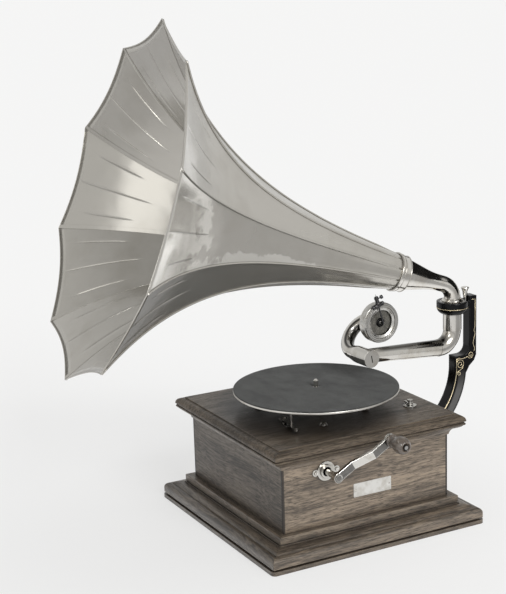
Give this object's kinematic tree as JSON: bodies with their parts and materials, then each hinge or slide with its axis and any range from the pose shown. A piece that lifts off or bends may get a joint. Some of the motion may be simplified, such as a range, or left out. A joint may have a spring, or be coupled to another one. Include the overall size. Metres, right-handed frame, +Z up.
{
  "type": "horn gramophone",
  "caption": "Spring-driven disc gramophone in a square oak case, with hand crank, swinging tone arm and a large flared petal horn on a rear bracket.",
  "frame": {"origin": "centre of the base board's underside", "axes": "+Z up, -Y the way the horn mouth faces, +X the crank side"},
  "size_m": [0.5671, 0.6724, 0.7604],
  "materials": {
    "oak": "dark fumed oak, waxed",
    "pine": "bare softwood",
    "nickel": "worn nickel plate",
    "steel": "plain steel, oiled",
    "brass": "plain brass",
    "fibre": "pressed fibre",
    "rubber": "black rubber",
    "felt": "dark wool felt",
    "japan": "black japan with gold lining",
    "leather": "brown leather",
    "ebonised": "ebonised turned wood",
    "mica": "clear mica sheet",
    "horn_metal": "pale satin metal, seamed"
  },
  "bodies": {
    "case": {"base_board": "oak", "plinth_moulding": "oak", "bed_moulding": "oak", "front_panel": "oak", "rear_panel": "oak", "left_panel": "oak", "right_panel": "oak", "corner_blocks": "pine", "cornice": "oak", "top_board": "oak", "escutcheon": "nickel", "motor_top_plate": "steel", "motor_low_plate": "steel", "motor_pillars": "steel", "motor_bolts": "nickel", "motor_spacers": "rubber", "speed_dial": "nickel", "brake_base": "nickel", "bracket": "japan", "bracket_bolts": "steel", "bearing_cap": "nickel"},
    "turntable": {"spindle": "nickel", "worm_wheel": "fibre", "turntable": "nickel", "turntable_felt": "felt"},
    "intermediate": {"inter_shaft": "steel", "inter_wheel": "brass"},
    "barrel": {"spring_barrel": "brass", "barrel_cover": "brass", "mainspring": "steel"},
    "governor": {"governor_shaft": "steel", "governor_weights": "brass", "governor_disc": "steel"},
    "crank": {"crank_shaft": "nickel", "crank_arm": "nickel", "crank_pin": "nickel"},
    "arbor": {"barrel_arbor": "steel", "crown_wheel": "brass", "ratchet_wheel": "steel"},
    "click": {"click": "steel"},
    "knob": {"crank_knob": "ebonised"},
    "speed_control": {"speed_lever": "nickel"},
    "brake": {"brake_lever": "nickel", "brake_pad": "leather"},
    "horn_clamp": {"thumb_screw": "nickel"},
    "tone_arm": {"tone_arm": "nickel", "pivot_cap": "nickel"},
    "gooseneck": {"gooseneck": "nickel", "box_back": "nickel", "box_case": "nickel", "box_gaskets": "rubber", "diaphragm": "mica", "stylus_bar": "steel", "needle": "steel"},
    "needle_screw": {"needle_screw": "nickel"},
    "horn": {"horn_elbow": "nickel", "horn_ferrule": "nickel", "horn_petals": "horn_metal", "horn_ribs": "horn_metal", "horn_rim": "horn_metal"}
  },
  "joints": [
    {"name": "turntable_spin", "type": "hinge", "parent": "case", "child": "turntable", "pos_m": [0, 0, 0.137], "axis": [0, 0, 1], "continuous": true},
    {"name": "intermediate_spin", "type": "hinge", "parent": "case", "child": "intermediate", "pos_m": [-0.0065, -0.03642, 0.1], "axis": [0, 0, 1], "continuous": true},
    {"name": "barrel_spin", "type": "hinge", "parent": "case", "child": "barrel", "pos_m": [0.03, -0.0706, 0.08], "axis": [0, 0, 1], "continuous": true},
    {"name": "governor_spin", "type": "hinge", "parent": "case", "child": "governor", "pos_m": [0, 0.029, 0.077], "axis": [1, 0, 0], "continuous": true},
    {"name": "crank_spin", "type": "hinge", "parent": "case", "child": "crank", "pos_m": [0.078, -0.0706, 0.1223], "axis": [1, 0, 0], "continuous": true},
    {"name": "arbor_spin", "type": "hinge", "parent": "case", "child": "arbor", "pos_m": [0.03, -0.0706, 0.11], "axis": [0, 0, 1], "continuous": true},
    {"name": "click_lift", "type": "hinge", "parent": "case", "child": "click", "pos_m": [0.006, -0.0826, 0.1215], "axis": [0, 0, 1], "range_deg": [0, 20]},
    {"name": "knob_spin", "type": "hinge", "parent": "crank", "child": "knob", "pos_m": [0.1935, 0.00821, 0.1678], "axis": [1, 0, 0], "continuous": true},
    {"name": "speed_control", "type": "hinge", "parent": "case", "child": "speed_control", "pos_m": [0.083, 0.116, 0.16], "axis": [0, 0, 1], "range_deg": [-0.3, 8]},
    {"name": "brake_lever", "type": "hinge", "parent": "case", "child": "brake", "pos_m": [0.044, -0.08, 0.175], "axis": [0, 0, 1], "range_deg": [-1.4, 10]},
    {"name": "horn_clamp_screw", "type": "hinge", "parent": "case", "child": "horn_clamp", "pos_m": [0, 0.2795, 0.3], "axis": [0, 0, 1], "continuous": true},
    {"name": "tone_arm_swing", "type": "hinge", "parent": "case", "child": "tone_arm", "pos_m": [0, 0.2545, 0.28], "axis": [0, 0, 1], "range_deg": [-20, 32]},
    {"name": "gooseneck_flip", "type": "hinge", "parent": "tone_arm", "child": "gooseneck", "pos_m": [0.00815, 0.08169, 0.236], "axis": [0.9989, 0.0471, 0], "range_deg": [0, 124.5]},
    {"name": "needle_screw_turn", "type": "hinge", "parent": "gooseneck", "child": "needle_screw", "pos_m": [0.00538, 0.10848, 0.32194], "axis": [-0.0451, 0.9573, 0.2857], "continuous": true},
    {"name": "horn_swivel", "type": "hinge", "parent": "case", "child": "horn", "pos_m": [0, 0.2545, 0.3], "axis": [0, 0, 1], "range_deg": [-20, 28]}
  ],
  "couplings": [
    {"joint": "intermediate_spin", "follows": "turntable_spin", "ratio": -0.23333},
    {"joint": "barrel_spin", "follows": "turntable_spin", "ratio": 0.058333},
    {"joint": "governor_spin", "follows": "turntable_spin", "ratio": 12},
    {"joint": "arbor_spin", "follows": "crank_spin", "ratio": 0.4}
  ]
}
